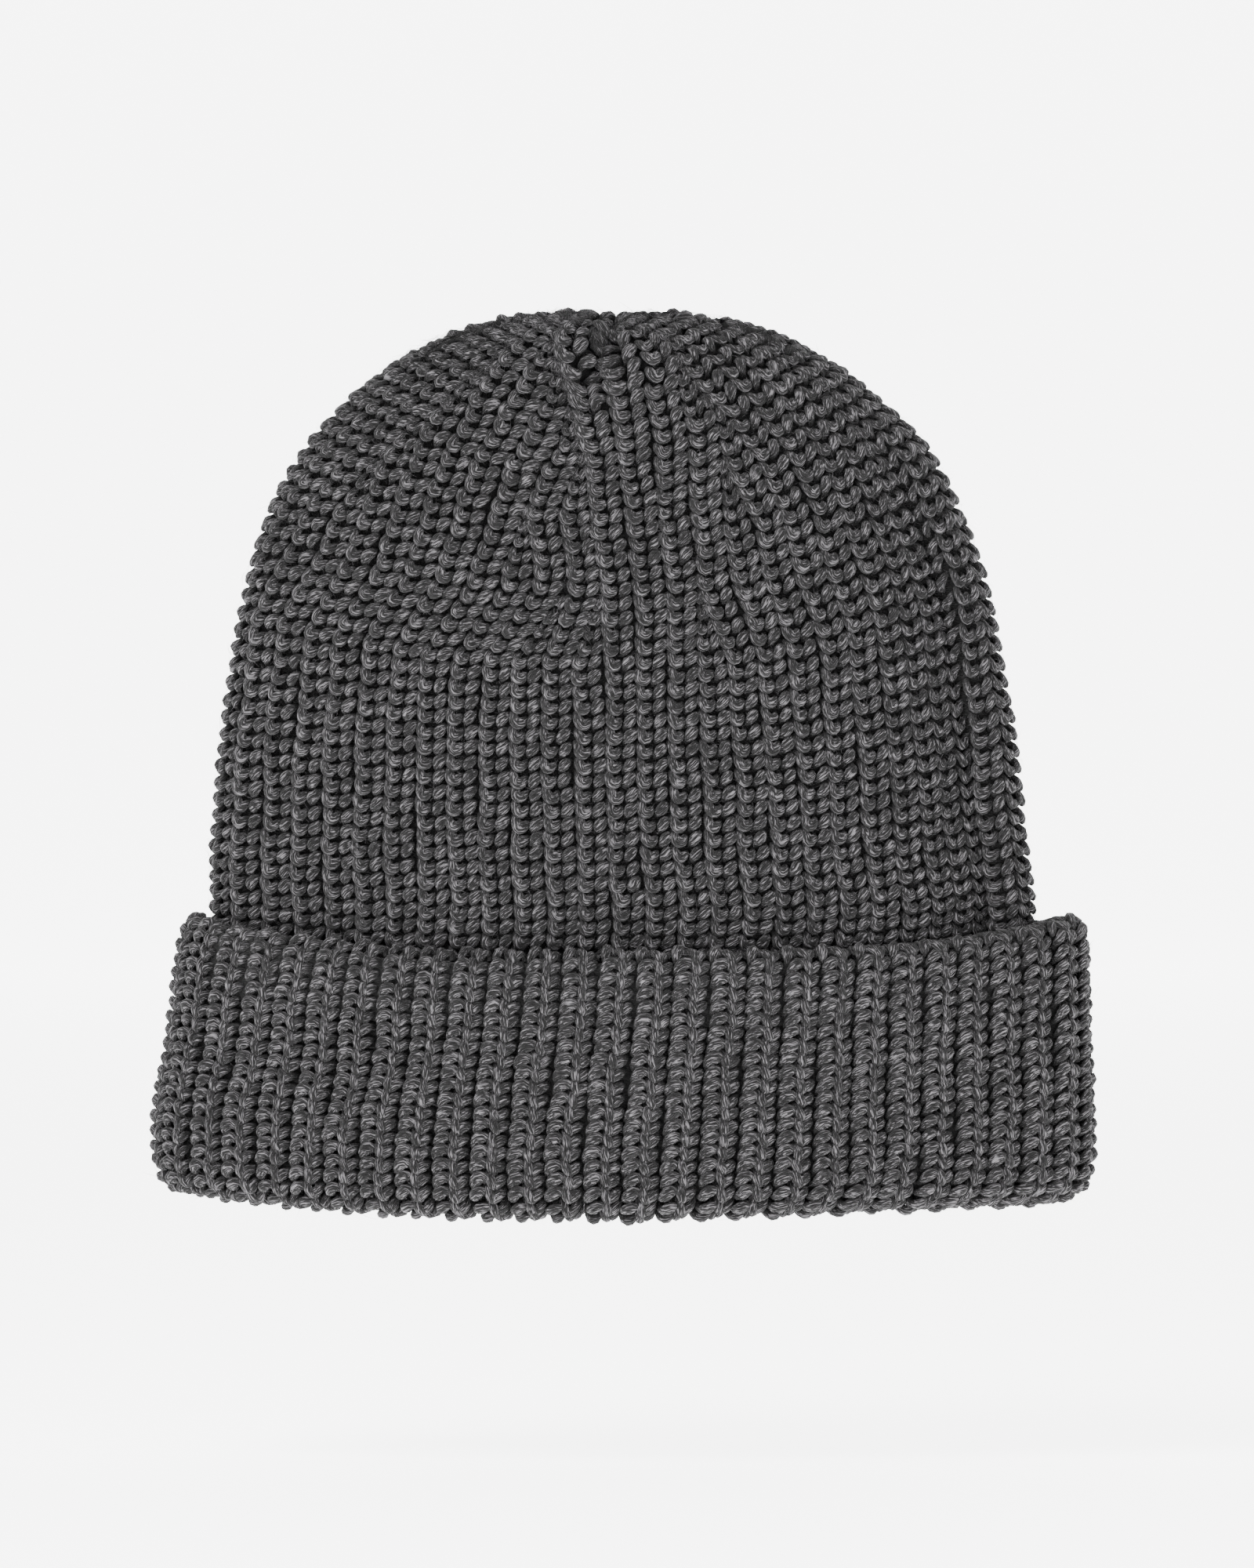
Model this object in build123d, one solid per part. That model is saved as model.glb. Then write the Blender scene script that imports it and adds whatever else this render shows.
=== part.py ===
from build123d import *
import math
import os

# Cuffed rib-knit beanie, standing on its folded edge, millimetres.
# +Z runs up to the crown, the front faces -Y, and the origin is the middle of
# the footprint on the surface the cuff stands on.

# ---- driving dimensions ----
TOTAL_HEIGHT = 221.2        # fold edge to the top of the crown
WALL = 5.0                  # thickness of the double-faced rib fabric
CUFF_HEIGHT = 68.0          # fold edge to cast-on edge, middle of the front
CUFF_SMILE = 7.0            # how far the fold and cast-on edges rise at the sides
CROWN_START = 165.0         # height where the shaping of the crown begins
FOLD_HEIGHT = 8.4           # height of the rounded fold at the hem
CAST_ON_HEIGHT = 5.2        # height of the cast-on border at the top of the cuff
TUBE_GAP = 0.4              # air between the fold and the end of the inner tube
SEAM_WIDTH = 8.0            # seam allowance inside the back
SEAM_DEPTH = 2.4            # how far the allowance stands into the hat
CUFF_SEAM_WIDTH = 3.4       # joining line up the back of the cuff
GATHER_RADIUS = 7.0         # bunched last course at the top of the crown
GATHER_X = -3.6             # the gather sits a little left of the middle
GATHER_FLOOR = 212.4        # underside of the bunched stitches
DRAW_YARN_RADIUS = 1.2      # drawing-up yarn, doubled
DRAW_RING_RADIUS = 4.6      # loop it makes through the last stitches
KNOT_RADIUS = 2.3           # knot that holds it
CUFF_INNER_LEFT = -101.0    # cuff lining face, left end
CUFF_INNER_RIGHT = 101.4    # cuff lining face, right end
CUFF_INNER_DEPTH = 27.0     # half depth of the lining face
CUFF_OUTER_DEPTH = 33.0     # half depth of the outer face of the cuff

# Body: height, left end, right end, half depth, end radius of the outer face.
BODY_LEVELS = [
    (6.0, -100.4, 98.9, 26.2, 9.0),
    (40.0, -100.4, 98.9, 26.4, 9.0),
    (72.0, -100.4, 99.0, 26.5, 9.0),
    (97.7, -100.0, 98.0, 26.5, 9.0),
    (116.7, -98.4, 95.8, 26.2, 9.0),
    (130.9, -96.2, 92.8, 25.5, 9.0),
    (145.2, -93.8, 89.6, 24.5, 9.0),
    (159.4, -90.2, 86.0, 23.0, 9.0),
    (173.7, -85.0, 80.6, 20.8, 8.8),
    (187.9, -77.0, 72.4, 18.0, 8.6),
    (197.4, -69.0, 64.4, 15.8, 8.2),
    (206.9, -57.6, 52.2, 13.0, 7.6),
    (212.4, -49.0, 43.4, 11.2, 7.0),
    (216.6, -39.0, 34.0, 9.3, 6.2),
    (219.6, -27.0, 22.4, 7.2, 5.0),
    (TOTAL_HEIGHT, -16.0, 11.4, 5.0, 3.6),
]

# Cuff outer face: height, left end, right end, half depth.
CUFF_LEVELS = [
    (0.0, -108.6, 108.8, CUFF_OUTER_DEPTH - 4.2),
    (2.0, -111.0, 111.2, CUFF_OUTER_DEPTH - 1.6),
    (6.0, -113.0, 113.2, CUFF_OUTER_DEPTH - 0.3),
    (14.0, -114.4, 114.3, CUFF_OUTER_DEPTH),
    (24.0, -113.9, 113.9, CUFF_OUTER_DEPTH),
    (36.0, -112.6, 113.2, CUFF_OUTER_DEPTH),
    (50.0, -110.4, 113.0, CUFF_OUTER_DEPTH),
    (62.0, -107.9, 112.8, CUFF_OUTER_DEPTH),
    (78.0, -104.8, 111.6, CUFF_OUTER_DEPTH),
]


def lens(z, left, right, depth, radius, inset=0.0):
    """Flat-oval section: two wide arcs closed by a small round at each end."""
    mid = (left + right) / 2
    half = (right - left) / 2 - inset
    b = depth - inset
    r = radius - inset
    c = half - r
    big = (c * c + b * b - r * r) / (2 * (b - r))
    theta = math.asin(c / (big - r))
    sx, sy = c + r * math.sin(theta), r * math.cos(theta)
    pt = lambda x, y: (mid + x, y, z)
    edges = [
        Edge.make_three_point_arc(pt(-sx, -sy), pt(0, -b), pt(sx, -sy)),
        Edge.make_three_point_arc(pt(sx, -sy), pt(half, 0), pt(sx, sy)),
        Edge.make_three_point_arc(pt(sx, sy), pt(0, b), pt(-sx, sy)),
        Edge.make_three_point_arc(pt(-sx, sy), pt(-half, 0), pt(-sx, -sy)),
    ]
    return Face(Wire(edges))


def smile(x, base, rise):
    """Height of an edge that is level in the middle and lifts at the sides."""
    t = max(0.0, (abs(x) - 40.0) / 74.0)
    return base + rise * t ** 2.2


def band(low, high, low_rise, high_rise, reach=140.0):
    """Slab along Y whose lower and upper faces follow the lifted edges."""
    xs = [-reach, -118, -100, -80, -60, -40, 0, 40, 60, 80, 100, 118, reach]
    # below the hem the slab runs past the solid it trims
    lower = [(x, smile(x, low, low_rise)) for x in xs]
    upper = [(x, smile(x, high, high_rise)) for x in reversed(xs)]
    lo = Spline(*[Vector(x, 0, z) for x, z in lower])
    hi = Spline(*[Vector(x, 0, z) for x, z in upper])
    right = Line(lo @ 1, hi @ 0)
    left = Line(hi @ 1, lo @ 0)
    face = Face(Wire([lo.edge(), right.edge(), hi.edge(), left.edge()]))
    solid = Solid.extrude(face, Vector(0, 160, 0))
    return solid.moved(Location((0, -80, 0)))


def solid_of(shape):
    """The one solid of a boolean result."""
    solids = shape.solids()
    return max(solids, key=lambda s: s.volume)


# ---- body and crown shell ----
outer = Solid.make_loft([lens(*lv).outer_wire() for lv in BODY_LEVELS], ruled=True)
inner_levels = [lv for lv in BODY_LEVELS if lv[0] <= 212.4]
inner = Solid.make_loft([lens(*lv, inset=WALL).outer_wire() for lv in inner_levels], ruled=True)
shell = outer - inner

crown_block = Pos(0, 0, CROWN_START + 50) * Box(300, 120, 100)
tube_block = band(FOLD_HEIGHT + TUBE_GAP, CROWN_START, CUFF_SMILE, 0.0)
body_panel = solid_of(shell & tube_block)

# the last course is drawn up into a tight bunch at the top of the crown
gather_core = Pos(GATHER_X, 0, GATHER_FLOOR + 10) * Cylinder(4.6, 20)
crown_all = solid_of(shell & crown_block)
crown_panel = solid_of(crown_all - gather_core)
crown_gather = solid_of(crown_all & gather_core)

# drawing-up yarn: a closed loop under the bunch, and the knot under it
ring_z = GATHER_FLOOR - DRAW_YARN_RADIUS
gather_yarn = Pos(GATHER_X, 0, ring_z) * Torus(3.0, DRAW_YARN_RADIUS)
gather_knot = Pos(GATHER_X + 3.0, 0, ring_z - DRAW_YARN_RADIUS - KNOT_RADIUS) * Sphere(KNOT_RADIUS)

# ---- seam allowance up the inside of the back ----
ridge = Solid.make_loft(
    [lens(*lv, inset=WALL + SEAM_DEPTH).outer_wire() if lv[4] > WALL + SEAM_DEPTH + 0.1
     else lens(lv[0], lv[1], lv[2], lv[3], WALL + SEAM_DEPTH + 0.1, inset=WALL + SEAM_DEPTH).outer_wire()
     for lv in BODY_LEVELS if lv[0] <= 206.9], ruled=True)
allowance = inner - ridge
seam_slab = Pos(0, 40, 100) * Box(SEAM_WIDTH, 80, 400)
seam_all = allowance & seam_slab
back_seam = solid_of(seam_all & band(FOLD_HEIGHT + TUBE_GAP, CROWN_START, CUFF_SMILE, 0.0))
crown_seam = solid_of(seam_all & (Pos(0, 0, (CROWN_START + 203.0) / 2) * Box(300, 120, 203.0 - CROWN_START)))

# ---- turned-up cuff ----
cuff_outer = Solid.make_loft(
    [lens(*lv, 13.0).outer_wire() for lv in CUFF_LEVELS], ruled=True)
lining = lens(-5, CUFF_INNER_LEFT, CUFF_INNER_RIGHT, CUFF_INNER_DEPTH, 10.0)
cuff_lining = Solid.extrude(lining, Vector(0, 0, 90))
hem_opening = Solid.extrude(
    lens(-5, BODY_LEVELS[0][1], BODY_LEVELS[0][2], BODY_LEVELS[0][3], 9.0, inset=WALL), Vector(0, 0, 90))

ring = cuff_outer - cuff_lining
top = CUFF_HEIGHT
fold_edge = solid_of((cuff_outer - hem_opening) & band(-0.6, FOLD_HEIGHT, CUFF_SMILE, CUFF_SMILE))
cuff_all = solid_of(ring & band(FOLD_HEIGHT, top - CAST_ON_HEIGHT, CUFF_SMILE, CUFF_SMILE))
cast_on_edge = solid_of(ring & band(top - CAST_ON_HEIGHT, top, CUFF_SMILE, CUFF_SMILE))

cuff_slot = Pos(0, 40, 40) * Box(CUFF_SEAM_WIDTH, 80, 200)
cuff_band = solid_of(cuff_all - cuff_slot)
cuff_seam = solid_of(cuff_all & cuff_slot)

PARTS = {
    "body_panel": body_panel,
    "crown_panel": crown_panel,
    "crown_gather": crown_gather,
    "gather_yarn": gather_yarn,
    "gather_knot": gather_knot,
    "back_seam": back_seam,
    "crown_seam": crown_seam,
    "cuff_band": cuff_band,
    "fold_edge": fold_edge,
    "cast_on_edge": cast_on_edge,
    "cuff_seam": cuff_seam,
}

os.makedirs("parts", exist_ok=True)
for name, shape in PARTS.items():
    export_step(shape, f"parts/{name}.step")
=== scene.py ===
import math

import bpy
import numpy as np
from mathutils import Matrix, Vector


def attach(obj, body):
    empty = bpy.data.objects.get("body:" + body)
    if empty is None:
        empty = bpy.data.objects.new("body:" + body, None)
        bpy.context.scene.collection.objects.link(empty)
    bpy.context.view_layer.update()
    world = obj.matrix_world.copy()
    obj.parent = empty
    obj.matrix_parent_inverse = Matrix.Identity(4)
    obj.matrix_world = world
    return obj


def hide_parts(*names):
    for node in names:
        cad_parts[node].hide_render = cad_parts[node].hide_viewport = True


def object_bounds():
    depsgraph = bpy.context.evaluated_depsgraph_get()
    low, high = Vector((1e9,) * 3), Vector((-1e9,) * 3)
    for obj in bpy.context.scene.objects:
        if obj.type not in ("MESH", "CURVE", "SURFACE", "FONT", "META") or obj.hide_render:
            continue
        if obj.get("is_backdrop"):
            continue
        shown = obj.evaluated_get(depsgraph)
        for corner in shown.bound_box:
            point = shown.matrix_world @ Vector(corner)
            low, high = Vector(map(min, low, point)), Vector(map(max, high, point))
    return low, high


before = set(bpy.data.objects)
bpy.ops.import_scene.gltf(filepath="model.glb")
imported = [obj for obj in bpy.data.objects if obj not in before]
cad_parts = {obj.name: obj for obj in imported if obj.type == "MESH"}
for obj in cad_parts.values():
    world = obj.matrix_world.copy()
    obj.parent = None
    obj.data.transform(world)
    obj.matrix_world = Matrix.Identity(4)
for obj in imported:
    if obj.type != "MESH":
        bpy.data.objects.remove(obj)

cad_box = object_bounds()
rng = np.random.default_rng(594)
MM = 0.001

# ------------------------------------------------------------------ sizes, mm
COLS = 56  # ribs around
COURSE = 3.42  # height of a course at the front
CUFF = 68.0  # fold to cast-on edge
SMILE = 7.0  # how far the fold and the edge rise at the sides
INSET = 2.1  # from the tops of the stitches to the middle of the fabric face
TOP_ROW = 44  # courses from the cuff's edge to the gather
LOW_ROW = -17  # courses hidden under the cuff
DOME_Z = 145.0

BODY = np.array(
    [
        (4.0, -100.4, 98.9, 26.2, 9.0),
        (40.0, -100.4, 98.9, 26.4, 9.0),
        (62.0, -100.4, 99.0, 26.5, 9.0),
        (76.0, -100.6, 101.2, 26.5, 9.0),
        (86.0, -100.8, 99.7, 26.5, 9.0),
        (97.7, -100.3, 98.1, 26.5, 9.0),
        (116.7, -99.3, 96.1, 26.2, 9.0),
        (130.9, -97.6, 93.9, 25.5, 9.0),
        (145.2, -95.6, 91.9, 24.5, 9.0),
        (159.4, -92.3, 88.5, 23.0, 9.0),
        (173.7, -87.4, 82.6, 20.8, 8.8),
        (187.9, -79.2, 74.6, 18.0, 8.6),
        (197.4, -71.2, 65.8, 15.8, 8.2),
        (206.9, -60.8, 55.6, 13.0, 7.6),
        (212.4, -52.4, 46.4, 11.2, 7.0),
        (216.6, -42.2, 36.0, 9.3, 6.2),
        (219.5, -30.8, 24.0, 7.2, 5.0),
        (221.0, -20.5, 13.0, 5.0, 3.6),
    ]
)
CUFF_LEVELS = np.array(
    [
        (0.0, -112.2, 112.4),
        (8.0, -113.8, 113.8),
        (16.0, -114.4, 114.3),
        (26.0, -113.5, 114.1),
        (36.0, -111.3, 113.5),
        (50.0, -109.6, 113.2),
        (62.0, -107.9, 112.8),
        (80.0, -104.4, 111.6),
    ]
)
CUFF_DEPTH, CUFF_ROUND = 33.0, 13.0


# ------------------------------------------------------------- small numerics
def pchip(x, xs, ys):
    """Monotone cubic through the points."""
    xs, ys = np.asarray(xs, float), np.asarray(ys, float)
    h, d = np.diff(xs), np.diff(ys) / np.diff(xs)
    m = np.zeros(len(xs))
    m[0], m[-1] = d[0], d[-1]
    for i in range(1, len(xs) - 1):
        if d[i - 1] * d[i] > 0:
            w1, w2 = 2 * h[i] + h[i - 1], h[i] + 2 * h[i - 1]
            m[i] = (w1 + w2) / (w1 / d[i - 1] + w2 / d[i])
    x = np.clip(x, xs[0], xs[-1])
    i = np.clip(np.searchsorted(xs, x) - 1, 0, len(h) - 1)
    t = (x - xs[i]) / h[i]
    return (
        ys[i] * (1 + 2 * t) * (1 - t) ** 2
        + m[i] * h[i] * t * (1 - t) ** 2
        + ys[i + 1] * t * t * (3 - 2 * t)
        + m[i + 1] * h[i] * t * t * (t - 1)
    )


def lens(u, left, right, depth, radius):
    """Point and outward direction of the flat-oval section at share u of the way round, from the middle of the back, over the left end and the front. All inputs broadcast."""
    u, left, right, depth, radius = np.broadcast_arrays(u, left, right, depth, radius)
    mid, half = (left + right) / 2, (right - left) / 2
    c = half - radius
    big = (c * c + depth * depth - radius * radius) / (2 * (depth - radius))
    th = np.arcsin(np.clip(c / (big - radius), -1, 1))
    l1, l2 = big * th, radius * (math.pi - 2 * th)
    a = (u % 1.0) * (4 * l1 + 2 * l2)
    k1, k2, k3, k4 = l1, l1 + l2, 3 * l1 + l2, 3 * l1 + 2 * l2
    psi = np.where(
        a < k1,
        a / big,
        np.where(
            a < k2,
            th + (a - k1) / radius,
            np.where(
                a < k3,
                math.pi - th + (a - k2) / big,
                np.where(
                    a < k4,
                    math.pi + th + (a - k3) / radius,
                    2 * math.pi - th + (a - k4) / big,
                ),
            ),
        ),
    )
    nx, ny = -np.sin(psi), np.cos(psi)
    end = ((a >= k1) & (a < k2)) | ((a >= k3) & (a < k4))
    back = (a < k1) | (a >= k4)
    r = np.where(end, radius, big)
    cx = np.where(end, np.where(a < k2, -c, c), 0.0)
    cy = np.where(end, 0.0, np.where(back, depth - big, big - depth))
    return mid + cx + r * nx, cy + r * ny, nx, ny


def smile(x):
    return SMILE * np.clip((np.abs(x) - 30.0) / 84.0, 0, None) ** 2.2


def fold_lift(x):
    """Rise of the fold itself: rounder on the left, flatter on the right."""
    left = 5.45 * np.clip((-x - 20.0) / 94.0, 0, None) ** 1.7
    right = 2.8 * np.clip((x - 8.0) / 94.0, 0, None) ** 0.8
    return np.where(x < 0, left, right)


def normalise(v):
    return v / np.maximum(np.linalg.norm(v, axis=-1, keepdims=True), 1e-12)


class Grid:
    """A surface sampled on rows and shares of the way round, read between the samples."""

    def __init__(self, pos, row0, step, flip=1.0):
        self.pos, self.row0, self.step = pos, row0, step
        self.n = pos.shape[1]
        du = np.roll(pos, -1, 1) - np.roll(pos, 1, 1)
        dr = np.gradient(pos, axis=0)
        self.nrm = normalise(np.cross(du, dr)) * flip

    def at(self, row, u):
        r = np.clip((row - self.row0) / self.step, 0, self.pos.shape[0] - 1.001)
        v = (u % 1.0) * self.n
        i, j = np.floor(r).astype(int), np.floor(v).astype(int)
        fr, fv = (r - i)[..., None], (v - j)[..., None]
        j, j2 = j % self.n, (j + 1) % self.n
        out = []
        for a in (self.pos, self.nrm):
            out.append(
                (a[i, j] * (1 - fv) + a[i, j2] * fv) * (1 - fr)
                + (a[i + 1, j] * (1 - fv) + a[i + 1, j2] * fv) * fr
            )
        return out[0], normalise(out[1])


# ---------------------------------------------------------- the hat's surface
# sigma runs up the hat: the mean of the way up the side and the way up the front
half = (BODY[:, 2] - BODY[:, 1]) / 2
steps = 0.5 * (
    np.hypot(np.diff(half), np.diff(BODY[:, 0]))
    + np.hypot(np.diff(BODY[:, 3]), np.diff(BODY[:, 0]))
)
SIG = np.concatenate([[0], np.cumsum(steps)])
SIG_TOP = SIG[-1]
SIG_POLE = SIG_TOP + 0.5 * (half[-1] + BODY[-1, 3])
SIG_DOME = float(np.interp(DOME_Z, BODY[:, 0], SIG))


def shell(u, sig):
    """Outer envelope of the hat body."""
    u, sig = np.broadcast_arrays(u, sig)
    s = np.minimum(sig, SIG_TOP)
    z, l, r, b, e = (pchip(s, SIG, BODY[:, i]) for i in range(5))
    x, y, _, _ = lens(u, l, r, b, e)
    k = np.clip((SIG_POLE - sig) / (SIG_POLE - SIG_TOP), 0, 1)
    mx = (l + r) / 2
    top = sig > SIG_TOP
    x = np.where(top, mx + (x - mx) * k, x)
    y = np.where(top, y * k, y)
    z = np.where(top, z + 0.3 * (1 - k * k), z)
    return np.stack([x, y, z], -1)


def sig_of_z(z):
    return np.interp(z, BODY[:, 0], SIG)


NU = COLS * 8
ub = np.arange(NU) / NU
Q0 = np.array([-0.025, -0.115])  # the gather, on the disc that the dome unrolls to

edge_xy = shell(ub, np.full(NU, sig_of_z(CUFF)))
row0_z = CUFF + smile(edge_xy[:, 0])

# each rib's way up: straight to the dome, then across the dome to the gather
n_low, n_dome = 120, 260
path_u, path_s = [], []
lowest_z = row0_z + LOW_ROW * COURSE
for k in range(n_low):
    f = k / n_low
    path_u.append(ub.copy())
    path_s.append(sig_of_z(lowest_z) * (1 - f) + SIG_DOME * f)
phi = math.pi / 2 + 2 * math.pi * ub
edge = np.stack([np.cos(phi), np.sin(phi)], -1)
for k in range(n_dome + 1):
    s = k / n_dome
    q = edge * (1 - s) + Q0 * s
    rho = np.hypot(q[:, 0], q[:, 1])
    path_u.append(((np.arctan2(q[:, 1], q[:, 0]) - math.pi / 2) / (2 * math.pi)) % 1.0)
    path_s.append(SIG_POLE - rho * (SIG_POLE - SIG_DOME))
path_u, path_s = np.array(path_u), np.array(path_s)
env = shell(path_u, path_s)
eps = 1e-3
du = shell(path_u + eps, path_s) - shell(path_u - eps, path_s)
ds = shell(path_u, path_s + 0.2) - shell(path_u, path_s - 0.2)
nrm = normalise(np.cross(du, ds))
bad = np.linalg.norm(du, axis=-1) < 1e-4
nrm[bad] = (0, 0, 1)


def furrow(p):
    """How far the hat's face sinks at the fold on its right and at the pucker below the gather."""
    x, y, z = p[..., 0], p[..., 1], p[..., 2]
    front = 1 / (1 + np.exp((y + 4) / 1.5))
    line = np.interp(
        z,
        [70, 82, 93, 104, 116, 129, 141, 154, 167, 180, 192],
        [89.2, 89.1, 87.3, 85.9, 84.9, 82.7, 80.1, 77.2, 73.1, 68.2, 59.5],
    )
    span = 1 / (1 + np.exp(-(z - 62) / 5)) / (1 + np.exp((z - 186) / 6))
    deep = 3.4 * np.exp(-(((x - line) / 2.2) ** 2)) + 1.8 * np.exp(-(((x - line + 5) / 8.0) ** 2))
    deep = deep * span
    swell = -0.9 * np.exp(-(((x - line - 7.5) / 4.5) ** 2)) * span
    way = np.clip((217.5 - z) / 22.0, -0.5, 1.0)
    crease = 6.0 * np.exp(-(((x + 3.3 + 6.5 * way) / 2.4) ** 2)) * np.clip(1 - way, 0, 1) ** 0.7
    crease = crease / (1 + np.exp((y + 1.5) / 1.0))
    swell2 = -1.0 * np.exp(-(((x - 5.0) / 7.0) ** 2)) * np.exp(-(((z - 209) / 8.0) ** 2))
    slow = 0.45 * np.sin(x * 0.055 + 1.3) * np.sin(z * 0.045 + 0.4) + 0.3 * np.sin(
        x * 0.11 - z * 0.05
    )
    return (deep + swell + swell2) * front + crease + slow + 0.3


base = env - nrm * (INSET + 0.35 + furrow(env))[..., None]

# evenly spaced courses along each rib's way
seg = np.linalg.norm(np.diff(env, axis=0), axis=-1)
arc = np.concatenate([np.zeros((1, NU)), np.cumsum(seg, 0)])
STEP = 0.25
rows_fine = np.arange(LOW_ROW, TOP_ROW + STEP / 2, STEP)
sunk = env - nrm * (4.3 + np.clip(furrow(env), 0, None))[..., None]
grid_pos = np.zeros((len(rows_fine), NU, 3))
grid_in = np.zeros_like(grid_pos)
row_u = np.zeros((len(rows_fine), NU))
low_len = -LOW_ROW * COURSE
for j in range(NU):
    total = arc[-1, j] - low_len
    a = np.clip(1.03 * COURSE * TOP_ROW / total, 0.6, 1.15)
    f = np.clip(rows_fine / TOP_ROW, 0, 1)
    up = low_len + total * (a * f + (1 - a) * f * f)
    want = np.where(rows_fine < 0, low_len + rows_fine * COURSE, up)
    for c in range(3):
        grid_pos[:, j, c] = np.interp(want, arc[:, j], base[:, j, c])
        grid_in[:, j, c] = np.interp(
            want, arc[:, j], sunk[:, j, c]
        )
hat = Grid(grid_pos, LOW_ROW, STEP)
hat_in = Grid(grid_in, LOW_ROW, STEP, flip=-1.0)


# --------------------------------------------------------- the cuff's surface
def cuff_section(u, z, inset):
    l, r = (pchip(z, CUFF_LEVELS[:, 0], CUFF_LEVELS[:, i]) for i in (1, 2))
    x, y, nx, ny = lens(u, l, r, CUFF_DEPTH, CUFF_ROUND)
    return x - inset * nx, y - inset * ny


def hem_section(u, inset):
    b = BODY[0]
    x, y, nx, ny = lens(u, b[1], b[2], b[3], b[4])
    return x - inset * nx, y - inset * ny


def lining_section(u, inset):
    x, y, nx, ny = lens(u, -101.0, 101.4, 27.0, 10.0)
    return x + inset * nx, y + inset * ny


FOLD_R = 6.2
FOLD_LOW = 3.8  # the middle of the fabric at the bottom of the fold
profile = []
xo, _ = cuff_section(ub, np.full(NU, 4.0), 0)
lift_top, lift_low = 1.16 * smile(xo), fold_lift(xo)


def lift_at(z):
    w = min(max((z - 8.0) / 40.0, 0.0), 1.0)
    return lift_low + (lift_top - lift_low) * w


ix, iy = hem_section(ub, 3.6)
for z in np.linspace(26, FOLD_LOW + FOLD_R, 14)[:-1]:
    profile.append(np.stack([ix, iy, z + lift_low], -1))
for p in np.linspace(math.pi, 0, 29):
    ox, oy = cuff_section(ub, np.full(NU, FOLD_LOW + FOLD_R), INSET)
    w = (1 - math.cos(p)) / 2
    z = FOLD_LOW + FOLD_R * (1 - math.sin(p)) + lift_low
    profile.append(np.stack([ox + (ix - ox) * w, oy + (iy - oy) * w, z], -1))
fold_at = len(profile) - 15
EDGE_Z = CUFF - 3.0
for z in np.linspace(FOLD_LOW + FOLD_R, EDGE_Z - 2.2, 40)[1:]:
    ox, oy = cuff_section(ub, np.full(NU, z), INSET)
    profile.append(np.stack([ox, oy, z + lift_at(z)], -1))
ox, oy = cuff_section(ub, np.full(NU, EDGE_Z), INSET)
tx, ty = lining_section(ub, 1.3)
for p in np.linspace(0, math.pi, 9)[1:]:
    w = (1 - math.cos(p)) / 2
    z = EDGE_Z - 2.2 + 2.2 * math.sin(p) + lift_top
    profile.append(np.stack([ox + (tx - ox) * w, oy + (ty - oy) * w, z], -1))
for z in np.linspace(EDGE_Z - 2.2, 48, 8)[1:]:
    profile.append(np.stack([tx, ty, z + lift_top], -1))
profile = np.array(profile)
xs = profile[..., 0]
zs = profile[..., 2]
carc = np.concatenate(
    [np.zeros((1, NU)), np.cumsum(np.linalg.norm(np.diff(profile, axis=0), axis=-1), 0)]
)
carc -= carc[fold_at][None]
CUFF_ROW0, CUFF_ROW1 = -8.0, 27.0
cuff_rows = np.arange(CUFF_ROW0, CUFF_ROW1 + STEP / 2, STEP)
cpos = np.zeros((len(cuff_rows), NU, 3))
# the outer face holds the same number of courses all round
top_at = 14 + 28 + 39  # first profile row of the edge's round
CUFF_COURSES = 19.4
for j in range(NU):
    up = carc[top_at, j]
    rows_at = np.where(
        carc[:, j] <= 0,
        carc[:, j] / COURSE,
        np.where(
            carc[:, j] <= up,
            carc[:, j] / up * CUFF_COURSES,
            CUFF_COURSES + (carc[:, j] - up) / COURSE,
        ),
    )
    for c in range(3):
        cpos[:, j, c] = np.interp(cuff_rows, rows_at, profile[:, j, c])
cuff = Grid(cpos, CUFF_ROW0, STEP)

# ------------------------------------------------------------- ribs and rows
rows_int = np.arange(LOW_ROW - 1, TOP_ROW + 2)


def rib_at(x, z=120.0, side=-1):
    """The rib whose middle is nearest x on the front (side -1) or the back."""
    u = (np.arange(COLS) + 0.5) / COLS
    p = shell(u, np.full(COLS, sig_of_z(z)))
    p[np.sign(p[:, 1]) != side, 0] = 1e6
    return int(np.argmin(np.abs(p[:, 0] - x)))


base_w = np.ones(COLS)
for x, w in ((62, 0.9), (69, 0.78), (76, 0.7), (82, 0.68), (88, 0.78), (94, 0.9)):
    base_w[rib_at(x)] = min(base_w[rib_at(x)], w)

gone = {}  # rib: the last course it has
plan = [
    (23, [(-29, -1), (-13, -1), (20, -1), (-30, 1), (0, 1), (28, 1)]),
    (30, 8),
    (34, 8),
    (37, 8),
    (40, 8),
    (42, 8),
]
for row, what in plan:
    if isinstance(what, list):
        for x, side in what:
            gone[rib_at(x, side=side)] = row
    else:
        left = [k for k in range(COLS) if k not in gone]
        pick = (np.arange(what) + 0.5 + 0.13 * (row % 3)) * len(left) / what
        for n, q in enumerate(pick):
            gone[left[int(q) % len(left)]] = row + (n * 5) % 3 - 1

width = np.tile(base_w, (len(rows_int), 1))
for k, last in gone.items():
    fade = np.clip((last + 0.6 - rows_int) / 4.6, 0.0, 1.0)
    width[:, k] *= fade
right_part = 1 / (1 + np.exp((rows_int - 33) / 2.0))
for k in range(COLS):
    if base_w[k] < 1:
        width[:, k] *= 1 + (1 / base_w[k] - 1) * (1 - right_part)
total_w = width.sum(1, keepdims=True)
right_edge = np.cumsum(width, 1) / total_w
centre = right_edge - 0.5 * width / total_w
share = width / total_w
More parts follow.
